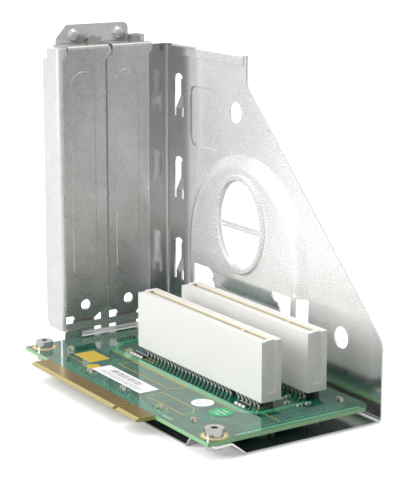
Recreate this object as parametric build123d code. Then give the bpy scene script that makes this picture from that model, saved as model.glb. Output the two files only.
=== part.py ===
from build123d import *
import os

# Riser cage for expansion cards: a folded steel cage that carries a riser board
# with two card slots and two blank slot covers. Millimetres, +Z up.
# Datum: the rear near corner of the board's top face. X runs away from the slot
# covers, Y runs towards the side plate, Z is up.

# Sheet steel of the cage
sheet = 0.8
bend_radius = 1.2          # inside radius of a bend
step_radius = 0.6          # inside radius at a small joggle
fit = 0.05                 # gap between parts that are slid together
cut_over = 0.1             # how far a cut runs past the faces of the sheet

# Riser board
board_length = 133.7
board_width = 70.5
board_thickness = 1.57
board_corner_cut = 3.0
edge_tab_start = 20.3
edge_tab_length = 79.3
edge_tab_depth = 7.6
edge_bevel_depth = 1.3
edge_bevel_height = 0.45
key_notch_width = 1.9
key_positions = (49, 50)   # contact positions lost to the key notch

# Contact fingers on the board edge
finger_count = 62
finger_pitch = 1.27
finger_width = 0.95
finger_length = 6.1
finger_thickness = 0.06

# Slots: pitch of connectors, covers and cover screws
slot_count = 2
slot_pitch = 20.32

# Card connectors
connector_x = 31.6
connector_y = 34.0
connector_length = 84.84
connector_width = 8.65
connector_height = 22.4
connector_lift = 2.7       # open space for the contact tails under the housing
card_slot_width = 1.9
card_slot_depth = 13.0
card_slot_end_wall = 2.6
card_slot_lead = 0.55
card_key_x = 66.4          # key rib, from the rear end of the housing
card_key_width = 1.8
top_groove_offset = 2.45
top_groove_width = 0.3
top_groove_depth = 0.5
top_groove_end = 1.0
rear_step_length = 2.4
rear_step_depth = 0.5
end_recess_width = 3.9
end_recess_depth = 0.9
end_recess_floor = 3.0
foot_length = 1.5
foot_width = 1.9
tail_channel_depth = 1.5
tail_channel_inner = 0.9
tail_channel_outer = 3.85
tail_pitch = 2.54
tail_columns = 30
tail_width = 0.5
tail_thickness = 0.4
tail_rows = (-3.6, -1.35, 1.35, 3.6)       # where the tails leave the housing
tail_feet = (-2.55, -1.05, 1.05, 2.55)     # where they enter the board
tail_stagger = 1.27

# Side plate with base, one folded sheet
base_drop = 7.0            # underside of the base below the board's top face
base_near_y = 2.46
base_rear_x = -1.0
side_inner_y = 73.8
side_end_gap = 0.9         # base and side plate end this far past the board
side_top_z = 117.4
side_top_end_x = 48.0
side_shoulder_z = 106.0
side_low_inset = 4.6       # low point of the slanted edge, from the plate's end
side_low_z = 27.3
side_shoulder_radius = 5.0
side_low_radius = 8.0
hem_start_x = -5.6
hem_end_x = 46.5
hem_height = 3.9
hem_round = 0.7
rear_flange_lap = 4.0      # flat of the plate that the rear flange's section takes in
side_hole_diameter = 8.4
side_hole_upper = (40.7, 94.3)
side_hole_lower = (110.7, 19.2)
nick_depth = 0.6
nick_spots = ((63.5, 90.0), (129.3, 28.9))

# Shallow rounded panel pressed outwards in the side plate
panel_x = 18.55
panel_z = 89.15
panel_length = 22.5
panel_height = 24.3
panel_radius = 4.0
panel_depth = 0.6

# Three hanging hooks lanced out of the side plate
hook_count = 3
hook_pitch = 35.0
hook_x = -1.35
hook_low_z = 17.5
hook_slot_width = 7.3
hook_slot_height = 18.0
hook_slot_radius = 3.3
hook_width = 4.0
hook_root = 1.0            # part of the hook that lies in the plate
hook_step_start = 3.5
hook_step_end = 8.5
hook_top_radius = 1.8
hook_top_gap = 2.0
hook_offset = 2.4

# Arched relief pressed into the side plate, with an oval window
arch_x = 48.9
arch_z = 36.7
arch_radius = 41.5
arch_raise = 3.0
arch_ramp = 4.7
arch_foot_z = 28.5
arch_inner_bend = 6.0
arch_lap = 3.0             # flat strip on each side of the sloping rim
seam_lap = 1.0             # how far pressed pieces of the sheet run into the flat ones
relief_foot_z = 8.0
relief_window_width = 11.1 # opening between the tongue and a web
tongue_ramp_top_z = 28.0
tongue_ramp_foot_z = 21.0
tongue_bend = 2.5
tongue_bite_radius = 2.2
web_width = 3.0
web_gap = 4.5              # from a web to the arch's outer line
web_ramp_top_z = 14.0
web_ramp_foot_z = 10.0
oval_x = 48.5
oval_z = 50.6
oval_half_length = 14.25
oval_half_height = 17.25
oval_end_radius = 12.5
oval_bead_width = 3.0
oval_bead_raise = 1.1
oval_bead_edge = 0.75
crossbar_z = 49.3
crossbar_height = 2.4
crossbar_groove = 0.35

# Raised corner pads of the base that the board is screwed to
left_pad_reach = 3.1       # the raised flat runs this far past the screw's axis
right_pad_reach = 8.9
pad_reach_y = 3.36
pad_run_x = 3.8
pad_run_y = 5.9
pad_radius = 3.0
pad_foot_radius = 4.0
pad_margin = 10.0          # the pads' solids run this far past the sheet's edges

# Upright tab of the base behind the board's rear edge
stop_y = 18.2
stop_width = 7.8
stop_top_z = 3.4
stop_radius = 1.8
stop_lap = 5.0             # base that the stop's section takes in
stop_notch_depth = 2.0
stop_gap = 0.2             # room between the stop and the frame's lower wall
stop_side_gap = 1.0

# Slot covers
cover_thickness = 0.86
cover_front_x = -3.0
cover_y = 20.5
cover_gap = 1.15           # between neighbouring covers
cover_top_z = 119.15
cover_neck_left = 2.8
cover_neck_right = 2.23
cover_neck_left_z = 113.0
cover_neck_right_z = 113.6
cover_neck_rise = 2.8
cover_tab_length = 11.0
cover_foot_z = 10.85
cover_foot_inset = 4.1
cover_foot_width = 9.8
cover_foot_rise = 3.85
cover_foot_gap = 0.15
cover_corner_radius = 1.0
cover_foot_radius = 1.5
cover_joggle_top_z = 7.3
cover_joggle_foot_z = 5.3
cover_tip_z = -0.6
cover_hole_z = 12.3
cover_hole_diameter = 4.4
cover_bead_width = 11.0
cover_bead_foot_z = 22.7
cover_bead_top_z = 109.0
cover_bead_raise = 0.3
cover_bead_run = 0.35
cover_nick_depth = 0.55
cover_nicks = (99.5, 57.9, 18.3)

# Rear frame
flange_y = 19.0            # outer face of the left flange
flange_rear_x = -17.5
flange_foot_z = 1.9
flange_shoulder_z = 113.4
flange_top_z = 118.0
flange_top_rear_x = -14.0
flange_foot_radius = 4.0
flange_corner_radius = 1.5
flange_shoulder_radius = 0.8
shelf_left_gap = 0.8       # shelf starts this far left of the first cover's tab
wall_right_y = 62.3
back_wall_x = -9.3
back_wall_end_y = 71.5
back_wall_top_z = 117.0
hood_left_y = 23.9
hood_right_y = 57.4
hood_top_z = 126.7
hood_cut_y = 4.9
hood_cut_z = 5.4
hood_radius = 2.5
hood_cut_radius = 1.0
hood_root = 0.7            # full-width sheet left above the shelf
return_lap = 6.0           # wall that the right return's section takes in
dimple_foot_radius = 2.7
dimple_top_radius = 1.5
dimple_raise = 1.1
dimple_z = 122.3
dimple_spots = (31.8, 52.6)
window_width = 13.8
window_foot_z = 10.4
window_top_z = 108.0
window_radius = 2.0
latch_width = 16.4
latch_shift = 0.6          # latch openings sit this far left of the covers' middle
latch_top_z = 7.9
latch_rail_top_z = 4.9
latch_rail_foot_z = 2.2
ledge_z = 0.2
frame_foot_length = 12.0

# Screws and weld nuts
cover_screw_x = -9.0
cover_screw_inset = 4.4    # from the free edge of the cover's tab
cover_screw_diameter = 3.5
cover_screw_head = 6.9     # across the corners
cover_screw_head_height = 3.0
cover_screw_dome = 0.6
cover_slot_clearance = 0.5
shelf_nut_corners = 6.6
shelf_nut_height = 2.6
board_screw_inset = 5.0
board_screw_y = 5.9
board_screw_diameter = 3.0
board_screw_head = 6.9
board_screw_head_height = 2.9
board_nut_corners = 6.3
board_nut_height = 2.4
screw_tip = 0.4            # how far a screw ends past its nut
screw_recess = 2.6
screw_recess_depth = 1.5
hole_clearance = 0.4

# Labels and small parts on the board
label_thickness = 0.1
part_label = (58.5, 11.9, 36.0, 8.2)
white_spot = (97.8, 21.3, 8.4)
green_spot = (110.2, 21.0, 9.0)
capacitor_size = (2.0, 1.25, 0.9)
capacitor_spots = ((43.0, 5.5), (68.0, 5.5), (93.5, 6.0), (112.0, 8.5), (13.0, 14.0), (122.0, 65.0))
resistor_size = (1.7, 2.6, 0.55)
resistor_pitch = 2.3
resistor_banks = ((31.6, 32.2), (105.0, 32.2))
resistor_counts = (4, 3)
chip_size = (1.6, 0.9, 0.6)
chip_edge = 0.1
chip_spots = ((114.6, 46.5), (119.4, 48.5), (119.4, 52.5), (110.0, 48.4), (109.0, 51.0))

# Sizes that follow from the ones above
base_under_z = -base_drop
base_top_z = base_under_z + sheet
side_outer_y = side_inner_y + sheet
side_right_x = board_length + side_end_gap
side_low_x = side_right_x - side_low_inset
plateau_y = side_inner_y - arch_raise
web_outer = arch_radius - web_gap
web_inner = web_outer - web_width
tongue_half_width = web_inner - relief_window_width
board_under_z = -board_thickness
pad_top_z = board_under_z
cover_width = slot_pitch - cover_gap
wall_front_x = cover_front_x - cover_thickness - fit
shelf_top_z = cover_top_z - cover_thickness
hood_front_x = cover_front_x - cover_tab_length - step_radius - fit
lower_wall_front_x = base_rear_x - stop_gap
plate_flange_front_x = back_wall_x - sheet
cover_center_y = cover_y + cover_foot_inset + cover_foot_width / 2
tab_left_y = cover_y + cover_neck_left
tab_right_y = cover_y + cover_width + cover_neck_right
cover_screw_y = tab_right_y - cover_screw_inset
board_screw_spots = (board_screw_inset, board_length - board_screw_inset)
housing_foot_z = connector_lift
housing_top_z = connector_lift + connector_height


def prism_x(outline, x0, x1):
    """Outline drawn in (Y, Z), carried along X from x0 to x1."""
    return extrude(Plane.YZ.offset(x0) * outline, x1 - x0)


def prism_y(outline, y0, y1):
    """Outline drawn in (X, Z), carried along Y from y0 to y1."""
    return extrude(Plane.XZ.offset(-y1) * outline, y1 - y0)


def prism_z(outline, z0, z1):
    """Outline drawn in (X, Y), carried along Z from z0 to z1."""
    return extrude(Plane.XY.offset(z0) * outline, z1 - z0)


def rect(a0, a1, b0, b1, radius=0):
    """Rectangle between two pairs of limits, with round corners if asked."""
    size = (a1 - a0, b1 - b0)
    shape = RectangleRounded(*size, radius) if radius else Rectangle(*size)
    return Pos((a0 + a1) / 2, (b0 + b1) / 2) * shape


def disc(center, radius):
    return Pos(*center) * Circle(radius)


def diamond(center, depth):
    """Square standing on its corner, for a small V-shaped nick in an edge."""
    return Pos(*center) * Rot(0, 0, 45) * Rectangle(depth * 2**0.5, depth * 2**0.5)


def rounded_outline(points, radii):
    """Closed outline through the points; each corner has its own radius, and 0 leaves it sharp."""
    face = make_face(Polyline(*points, close=True))
    for point, radius in zip(points, radii):
        if radius:
            face = fillet(face.vertices().sort_by_distance(Vector(*point))[0], radius)
    return face


def folded(points, inside_radii, thickness=sheet):
    """Section of a sheet whose middle line runs through the points, with round bends."""
    line = FilletPolyline(*points, radius=[r + thickness / 2 for r in inside_radii])
    return trace(line, line_width=thickness)


# Riser board

def board_outline():
    tab_end = edge_tab_start + edge_tab_length
    body = rect(0, board_length, 0, board_width)
    body -= Pos(board_length, board_width) * Rot(0, 0, 45) * Rectangle(
        board_corner_cut * 2**0.5, board_corner_cut * 2**0.5)
    tab = rect(edge_tab_start, tab_end, -edge_tab_depth, 0)
    key_x = first_finger_x() + sum(key_positions) / 2 * finger_pitch
    notch = rect(key_x - key_notch_width / 2, key_x + key_notch_width / 2, -edge_tab_depth, 0)
    return body + tab - notch


def first_finger_x():
    return edge_tab_start + (edge_tab_length - (finger_count - 1) * finger_pitch) / 2


def riser_board():
    board = prism_z(board_outline(), board_under_z, 0)
    for x in board_screw_spots:
        hole = disc((x, board_screw_y), (board_screw_diameter + hole_clearance) / 2)
        board -= prism_z(hole, board_under_z, 0)
    tip = -edge_tab_depth
    for z, out in ((0, 1), (board_under_z, -1)):
        wedge = make_face(Polyline(
            (tip, z - out * edge_bevel_height), (tip, z), (tip + edge_bevel_depth, z), close=True))
        board -= prism_x(wedge, edge_tab_start, edge_tab_start + edge_tab_length)
    return board


def edge_contacts(z0, z1):
    """Row of gold fingers on one face of the board's edge tab, without the key positions."""
    start = -edge_tab_depth + edge_bevel_depth
    fingers = []
    for i in range(finger_count):
        if i in key_positions:
            continue
        x = first_finger_x() + i * finger_pitch
        outline = rect(x - finger_width / 2, x + finger_width / 2, start, start + finger_length)
        fingers.append(prism_z(outline, z0, z1))
    return Compound(fingers)


# Card connectors

def connector_housing(y0):
    y_mid = y0 + connector_width / 2
    x_end = connector_x + connector_length
    body = prism_z(rect(connector_x, x_end, y0, y0 + connector_width), housing_foot_z, housing_top_z)
    body -= card_slot(y_mid)
    for side in (-1, 1):
        groove_y = y_mid + side * top_groove_offset
        groove = rect(connector_x + rear_step_length, x_end - end_recess_depth - top_groove_end,
                      groove_y - top_groove_width / 2, groove_y + top_groove_width / 2)
        body -= prism_z(groove, housing_top_z - top_groove_depth, housing_top_z)
        channel = rect(connector_x + foot_length, x_end - foot_length,
                       min(side * tail_channel_inner, side * tail_channel_outer) + y_mid,
                       max(side * tail_channel_inner, side * tail_channel_outer) + y_mid)
        body -= prism_z(channel, housing_foot_z, housing_foot_z + tail_channel_depth)
    step = rect(connector_x, connector_x + rear_step_length, y0, y_mid - card_slot_width / 2)
    body -= prism_z(step, housing_top_z - rear_step_depth, housing_top_z)
    recess = rect(x_end - end_recess_depth, x_end,
                  y_mid - end_recess_width / 2, y_mid + end_recess_width / 2)
    body -= prism_z(recess, housing_foot_z + end_recess_floor, housing_top_z)
    for x in (connector_x, x_end - foot_length):
        foot = rect(x, x + foot_length, y_mid - foot_width / 2, y_mid + foot_width / 2)
        body += prism_z(foot, 0, housing_foot_z)
    return body


def card_slot(y_mid):
    """The slot for the card's edge, with its lead-in and the key rib left standing."""
    floor_z = housing_top_z - card_slot_depth
    lead = card_slot_lead
    half = card_slot_width / 2
    section = make_face(Polyline(
        (y_mid - half, floor_z), (y_mid + half, floor_z), (y_mid + half, housing_top_z - lead),
        (y_mid + half + lead, housing_top_z), (y_mid - half - lead, housing_top_z),
        (y_mid - half, housing_top_z - lead), close=True))
    slot = prism_x(section, connector_x + card_slot_end_wall,
                   connector_x + connector_length - card_slot_end_wall)
    rib_x = connector_x + card_key_x
    rib = rect(rib_x - card_key_width / 2, rib_x + card_key_width / 2,
               y_mid - connector_width / 2, y_mid + connector_width / 2)
    return slot - prism_z(rib, floor_z, housing_top_z - lead)


def connector_contacts(y0):
    """Contact tails of one connector: four staggered rows that lean in towards the middle."""
    y_mid = y0 + connector_width / 2
    run = (tail_columns - 1) * tail_pitch + tail_stagger
    x_first = connector_x + (connector_length - run) / 2
    half = tail_thickness / 2
    top_z = housing_foot_z + tail_channel_depth
    tails = []
    for row, (top, foot) in enumerate(zip(tail_rows, tail_feet)):
        side = make_face(Polyline(
            (y_mid + foot, 0), (y_mid + top + half, top_z), (y_mid + top - half, top_z), close=True))
        for i in range(tail_columns):
            x = x_first + i * tail_pitch + (row % 2) * tail_stagger
            tails.append(prism_x(side, x - tail_width / 2, x + tail_width / 2))
    return Compound(tails)


# Side plate and base

def side_outline():
    """Outline of the side plate in (X, Z), down to the base; its front edge slants."""
    rear_x = plate_flange_front_x - sheet
    slope = (side_low_z - side_shoulder_z) / (side_low_x - side_top_end_x)
    corner_z = side_low_z + slope * (side_right_x - side_low_x)
    points = ((rear_x, base_under_z), (side_right_x, base_under_z), (side_right_x, corner_z),
              (side_top_end_x, side_shoulder_z), (side_top_end_x, side_top_z), (rear_x, side_top_z))
    return rounded_outline(points, (0, 0, side_low_radius, side_shoulder_radius, 0, 0))


def folded_side():
    """Base, side plate and its narrow rear flange, before any relief is pressed."""
    section = folded(((base_near_y, base_top_z - sheet / 2),
                      (side_outer_y - sheet / 2, base_top_z - sheet / 2),
                      (side_outer_y - sheet / 2, side_top_z)), [bend_radius])
    flat_start_x = plate_flange_front_x + bend_radius
    body = prism_x(section, flat_start_x, side_right_x)
    body -= prism_z(rect(flat_start_x, base_rear_x, 0, side_outer_y - sheet - bend_radius),
                    base_under_z, base_top_z)
    flange = folded(((flat_start_x + rear_flange_lap, side_outer_y - sheet / 2),
                     (plate_flange_front_x - sheet / 2, side_outer_y - sheet / 2),
                     (plate_flange_front_x - sheet / 2, wall_right_y + sheet)), [bend_radius])
    foot_z = base_under_z + sheet + bend_radius
    body -= prism_z(rect(plate_flange_front_x, base_rear_x, 0, side_outer_y),
                    base_under_z, foot_z)
    body += prism_z(flange, foot_z, side_top_z)
    body &= prism_y(side_outline(), 0, side_outer_y)
    hem = prism_x(rect(side_inner_y - sheet, side_inner_y, side_top_z - hem_height, side_top_z),
                  hem_start_x, hem_end_x)
    top_edge = hem.edges().filter_by(Axis.X).sort_by(Axis.Z)[-2:].sort_by(Axis.Y)[0]
    return body + fillet(top_edge, hem_round)


def arch_sketch(radius, foot_z):
    """Half disc on two straight legs."""
    below = rect(arch_x - 2 * radius, arch_x + 2 * radius, arch_z - 2 * radius, foot_z)
    return disc((arch_x, arch_z), radius) + rect(arch_x - radius, arch_x + radius, foot_z, arch_z) - below


def arch_ramp_section(side):
    """Sloping rim of the arch in (X, Y), to the right (1) or left (-1) of its middle.

    The inner crease is soft on the side that shows, and the others are crisp."""
    inner = arch_radius - arch_ramp
    near = [(arch_radius + arch_lap, side_inner_y), (arch_radius, side_inner_y),
            (inner, plateau_y), (inner - arch_lap, plateau_y)]
    far = [(r, y + sheet) for r, y in reversed(near)]
    points = [(arch_x + side * r, y) for r, y in near + far]
    return rounded_outline(points, (0, 0, arch_inner_bend, 0, 0, 0, 0, 0))


def arched_relief():
    """Raised arch: swept rim, straight legs and the flat field inside."""
    section = Plane.XY.offset(arch_z) * arch_ramp_section(1)
    rim = revolve(section, Axis((arch_x, 0, arch_z), (0, -1, 0)), 180)
    for side in (1, -1):
        rim += prism_z(arch_ramp_section(side), arch_foot_z, arch_z)
    field = arch_sketch(arch_radius - arch_ramp - arch_lap + seam_lap, arch_foot_z)
    return rim + prism_y(field, plateau_y, plateau_y + sheet)


def relief_leg(x0, x1, ramp_top_z, ramp_foot_z, inside_radius):
    """Strip from the raised field down and back into the plane of the plate."""
    y_out = side_outer_y - sheet / 2
    section = folded(((y_out - arch_raise, arch_foot_z + seam_lap), (y_out - arch_raise, ramp_top_z),
                      (y_out, ramp_foot_z), (y_out, relief_foot_z - seam_lap)),
                     [inside_radius, inside_radius])
    return prism_x(section, x0, x1)


def lower_relief():
    """Middle tongue and two narrow webs that join the raised field to the plate's foot."""
    tongue = relief_leg(arch_x - tongue_half_width, arch_x + tongue_half_width,
                        tongue_ramp_top_z, tongue_ramp_foot_z, tongue_bend)
    for side in (-1, 1):
        bite = disc((arch_x + side * tongue_half_width, arch_foot_z - tongue_bite_radius),
                    tongue_bite_radius)
        tongue -= prism_y(bite, plateau_y, side_outer_y)
        near, far = sorted((arch_x + side * web_inner, arch_x + side * web_outer))
        tongue += relief_leg(near, far, web_ramp_top_z, web_ramp_foot_z, bend_radius)
    return tongue


def oval(grow):
    """Oval of four tangent arcs about the window's middle; grow widens it evenly all round."""
    rise = oval_half_height - oval_end_radius
    side_radius = ((oval_end_radius**2 - oval_half_length**2 - rise**2)
                   / (2 * (oval_end_radius - oval_half_length)))
    back = side_radius - oval_half_length
    share = (side_radius + grow) / (side_radius - oval_end_radius)
    x, z = back * share - back, rise * share
    top, right = oval_half_height + grow, oval_half_length + grow
    arcs = [ThreePointArc((-x, z), (0, top), (x, z)), ThreePointArc((x, z), (right, 0), (x, -z)),
            ThreePointArc((x, -z), (0, -top), (-x, -z)), ThreePointArc((-x, -z), (-right, 0), (-x, z))]
    return Pos(oval_x, oval_z) * make_face(arcs)


def oval_window(plate):
    """Oval opening with a rounded bead round it and a grooved bar across."""
    ring = prism_y(oval(oval_bead_width) - oval(0), plateau_y - oval_bead_raise, plateau_y + sheet)
    ring = chamfer(ring.faces().sort_by(Axis.Y)[0].edges(), oval_bead_edge)
    plate += ring
    plate -= prism_y(oval(0), plateau_y - oval_bead_raise, side_outer_y)
    groove = oval(oval_bead_width - sheet) - oval(sheet)
    plate -= prism_y(groove, plateau_y + sheet - oval_bead_raise, plateau_y + sheet)
    half = crossbar_height / 2
    bar = make_face(Polyline(
        (plateau_y, crossbar_z - half), (plateau_y + sheet, crossbar_z - half),
        (plateau_y + sheet, crossbar_z + half), (plateau_y, crossbar_z + half),
        (plateau_y, crossbar_z + crossbar_groove), (plateau_y + crossbar_groove, crossbar_z),
        (plateau_y, crossbar_z - crossbar_groove), close=True))
    reach = oval_half_length + sheet / 2
    return plate + prism_x(bar, oval_x - reach, oval_x + reach)


def pressed_panel(plate):
    """Shallow rounded panel pushed outwards by less than the sheet's thickness."""
    half = (panel_length / 2, panel_height / 2)
    limits = (panel_x - half[0], panel_x + half[0], panel_z - half[1], panel_z + half[1])
    pocket = prism_y(rect(*limits, panel_radius), side_inner_y, side_inner_y + panel_depth)
    boss = prism_y(rect(*limits, panel_radius), side_outer_y, side_outer_y + panel_depth)
    plate = plate + boss - pocket
    rim = rect(*limits, panel_radius)
    bevel = loft([Plane.XZ.offset(-side_inner_y) * offset(rim, panel_depth / 2),
                  Plane.XZ.offset(-side_inner_y - panel_depth / 2) * rim])
    return plate - bevel


def hook(low_z):
    """Tongue lanced out of the plate: it steps outwards and stands up as a hook."""
    y_in = side_outer_y - sheet / 2
    top_z = low_z + hook_slot_height - hook_top_gap
    section = folded(((y_in, low_z - hook_root), (y_in, low_z + hook_step_start),
                      (y_in + hook_offset, low_z + hook_step_end), (y_in + hook_offset, top_z)),
                     [step_radius, step_radius])
    tongue = prism_x(section, hook_x - hook_width / 2, hook_x + hook_width / 2)
    outline = rect(hook_x - hook_width / 2, hook_x + hook_width / 2, low_z - hook_slot_height, top_z,
                   hook_top_radius)
    return tongue & prism_y(outline, side_inner_y, side_outer_y + hook_offset)


def hang_hooks(plate):
    for i in range(hook_count):
        low_z = hook_low_z + i * hook_pitch
        half = hook_slot_width / 2
        slot = rect(hook_x - half, hook_x + half, low_z - 2 * half, low_z + hook_slot_height,
                    hook_slot_radius)
        slot -= rect(hook_x - half, hook_x + half, low_z - 2 * half, low_z)
        plate -= prism_y(slot, side_inner_y, side_outer_y)
        plate += hook(low_z)
    return plate


def corner_pad(x_edge, screw_x, screw_reach):
    """Solid under a raised corner pad, from the base's end at x_edge to just past its screw."""
    inward = 1 if screw_x > x_edge else -1
    length = abs(screw_x - x_edge) + screw_reach
    depth = board_screw_y + pad_reach_y - base_near_y
    foot = (length + pad_run_x + pad_margin, depth + pad_run_y + pad_margin)
    head = (length + pad_margin, depth + pad_margin)

    def layer(size, radius, z):
        center = (x_edge + inward * (size[0] / 2 - pad_margin), base_near_y + size[1] / 2 - pad_margin)
        return Plane.XY.offset(z) * Pos(*center) * RectangleRounded(*size, radius)
    return loft([layer(foot, pad_foot_radius, base_top_z), layer(head, pad_radius, pad_top_z)])


def side_and_base():
    """The folded side plate and base with every relief, hole and hook."""
    plate = folded_side()
    plate -= prism_y(arch_sketch(arch_radius + arch_lap - seam_lap, arch_foot_z), side_inner_y, side_outer_y)
    plate -= prism_y(rect(arch_x - arch_radius, arch_x + arch_radius, relief_foot_z, arch_foot_z),
                     side_inner_y, side_outer_y)
    plate += arched_relief()
    plate += lower_relief()
    plate = oval_window(plate)
    plate = pressed_panel(plate)
    plate = hang_hooks(plate)
    for center in (side_hole_upper, side_hole_lower):
        plate -= prism_y(disc(center, side_hole_diameter / 2), side_inner_y - cut_over,
                         side_outer_y + cut_over)
    for center in nick_spots:
        plate -= prism_y(diamond(center, nick_depth), side_inner_y - cut_over, side_outer_y + cut_over)
    return base_details(plate)


def base_details(plate):
    """Corner pads with their screw holes, and the upright stop behind the board."""
    inside = prism_z(rect(base_rear_x, side_right_x, base_near_y, side_inner_y - bend_radius),
                     base_under_z, pad_top_z)
    left_x, right_x = board_screw_spots
    for x_edge, screw_x, reach in ((base_rear_x, left_x, left_pad_reach),
                                   (side_right_x, right_x, right_pad_reach)):
        pad = corner_pad(x_edge, screw_x, reach)
        plate += pad & inside
        plate -= Pos(0, 0, -sheet) * pad
        hole = disc((screw_x, board_screw_y), (board_screw_diameter + hole_clearance) / 2)
        plate -= prism_z(hole, pad_top_z - sheet - cut_over, pad_top_z + cut_over)
    stop_x = base_rear_x + sheet / 2
    section = folded(((base_rear_x + stop_lap, base_top_z - sheet / 2), (stop_x, base_top_z - sheet / 2),
                      (stop_x, stop_top_z)), [step_radius])
    stop = prism_y(section, stop_y, stop_y + stop_width)
    outline = rect(stop_y, stop_y + stop_width, base_under_z - stop_lap, stop_top_z, stop_radius)
    plate -= prism_z(rect(base_rear_x, base_rear_x + stop_notch_depth, stop_y, stop_y + stop_width),
                     base_under_z, base_top_z)
    return plate + (stop & prism_x(outline, base_rear_x, base_rear_x + stop_lap))


# Rear frame

def frame_section(points, radii, y0, y1):
    return prism_y(folded(points, radii), y0, y1)


def frame_wall():
    """Hood, shelf, window wall, ledge and foot as one strip folded in (X, Z)."""
    wall_x = wall_front_x - sheet / 2
    shelf_z = shelf_top_z - sheet / 2
    hood_x = hood_front_x - sheet / 2
    mid_z = (window_foot_z + window_top_z) / 2
    y_left = tab_left_y - shelf_left_gap
    y_right = wall_right_y - sheet - bend_radius / 2
    upper = frame_section(((hood_x, hood_top_z), (hood_x, shelf_z), (wall_x, shelf_z),
                           (wall_x, mid_z)), [step_radius, bend_radius], y_left, y_right)
    lower_x = lower_wall_front_x - sheet / 2
    foot_z = base_top_z + sheet / 2 + fit
    lower = frame_section(((wall_x, mid_z), (wall_x, ledge_z - sheet / 2),
                           (lower_x, ledge_z - sheet / 2), (lower_x, foot_z),
                           (frame_foot_length, foot_z)),
                          [step_radius, step_radius, step_radius],
                          flange_y + sheet + bend_radius / 2, y_right)
    hood_keep = hood_outline()
    hood_zone = prism_x(rect(y_left, y_right, shelf_top_z + hood_root, hood_top_z),
                        hood_x - sheet, hood_x + sheet)
    upper -= hood_zone - prism_x(hood_keep, hood_x - sheet, hood_x + sheet)
    notch = rect(lower_wall_front_x, frame_foot_length, flange_y, stop_y + stop_width + stop_side_gap)
    lower -= prism_z(notch, base_top_z, pad_top_z)
    return upper + lower


def hood_outline():
    """Hood in (Y, Z): one corner cut off, the other rounded."""
    points = ((hood_left_y, shelf_top_z), (hood_left_y, hood_top_z - hood_cut_z),
              (hood_left_y + hood_cut_y, hood_top_z), (hood_right_y, hood_top_z),
              (hood_right_y, shelf_top_z))
    return rounded_outline(points, (0, hood_cut_radius, hood_cut_radius, hood_radius, 0))


def frame_left_flange():
    """Left flange folded back from the window wall, narrower above the shoulder."""
    wall_x = wall_front_x - sheet / 2
    section = folded(((wall_x, tab_left_y - shelf_left_gap), (wall_x, flange_y + sheet / 2),
                      (flange_rear_x, flange_y + sheet / 2)), [bend_radius])
    flange = prism_z(section, flange_foot_z, flange_top_z)
    points = ((wall_front_x, flange_foot_z), (wall_front_x, flange_top_z), (flange_top_rear_x, flange_top_z),
              (flange_top_rear_x, flange_shoulder_z), (flange_rear_x, flange_shoulder_z),
              (flange_rear_x, flange_foot_z))
    outline = rounded_outline(points, (0, 0, flange_corner_radius, flange_shoulder_radius,
                                       flange_corner_radius, flange_foot_radius))
    return flange & prism_y(outline, flange_y, tab_left_y)


def frame_right_step():
    """Return behind the second cover and the back wall that meets the side plate."""
    wall_x = wall_front_x - sheet / 2
    back_x = back_wall_x - sheet / 2
    return_y = wall_right_y - sheet / 2
    section = folded(((wall_x, return_y - return_lap), (wall_x, return_y), (back_x, return_y),
                      (back_x, back_wall_end_y)), [bend_radius, bend_radius])
    return prism_z(section, flange_foot_z, back_wall_top_z)


def slot_windows(frame):
    """Windows behind each cover, and the latch openings for the covers' feet."""
    x0, x1 = wall_front_x - sheet - cut_over, wall_front_x + cut_over
    for i in range(slot_count):
        y = cover_center_y + i * slot_pitch
        half = window_width / 2
        frame -= prism_x(rect(y - half, y + half, window_foot_z, window_top_z, window_radius), x0, x1)
        half = latch_width / 2
        y -= latch_shift
        frame -= prism_x(rect(y - half, y + half, latch_rail_top_z, latch_top_z), x0, x1)
        frame -= prism_x(rect(y - half, y + half, ledge_z + step_radius, latch_rail_foot_z), x0, x1)
        screw_hole = disc((cover_screw_x, cover_screw_y + i * slot_pitch),
                          (cover_screw_diameter + hole_clearance) / 2)
        frame -= prism_z(screw_hole, shelf_top_z - sheet - cut_over, shelf_top_z + cut_over)
    return frame


def hood_dimples(frame):
    """Two round dimples pressed forwards in the hood, hollow behind."""
    for y in dimple_spots:
        dimple = Pos(hood_front_x, y, dimple_z) * Rot(0, 90, 0) * Cone(
            dimple_foot_radius, dimple_top_radius, dimple_raise,
            align=(Align.CENTER, Align.CENTER, Align.MIN))
        frame += dimple
        frame -= Pos(-sheet, 0, 0) * dimple
    return frame


def rear_frame():
    frame = frame_wall()
    frame += frame_left_flange()
    frame += frame_right_step()
    frame = slot_windows(frame)
    return hood_dimples(frame)


# Slot covers

def cover_outline():
    """Front outline of a cover in (Y, Z), from the tab's top to the tip of its foot."""
    y0, y1 = cover_y, cover_y + cover_width
    foot0 = cover_y + cover_foot_inset
    foot1 = foot0 + cover_foot_width
    points = ((y0, cover_foot_z), (y0, cover_neck_left_z),
              (tab_left_y, cover_neck_left_z + cover_neck_rise), (tab_left_y, cover_top_z),
              (tab_right_y, cover_top_z), (tab_right_y, cover_neck_right_z + cover_neck_rise),
              (y1, cover_neck_right_z), (y1, cover_foot_z), (foot1, cover_foot_z - cover_foot_rise),
              (foot1, cover_tip_z), (foot0, cover_tip_z), (foot0, cover_foot_z - cover_foot_rise))
    corner, foot = cover_corner_radius, cover_foot_radius
    return rounded_outline(points, (corner, 0, 0, 0, 0, 0, 0, corner, 0, foot, foot, 0))


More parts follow.
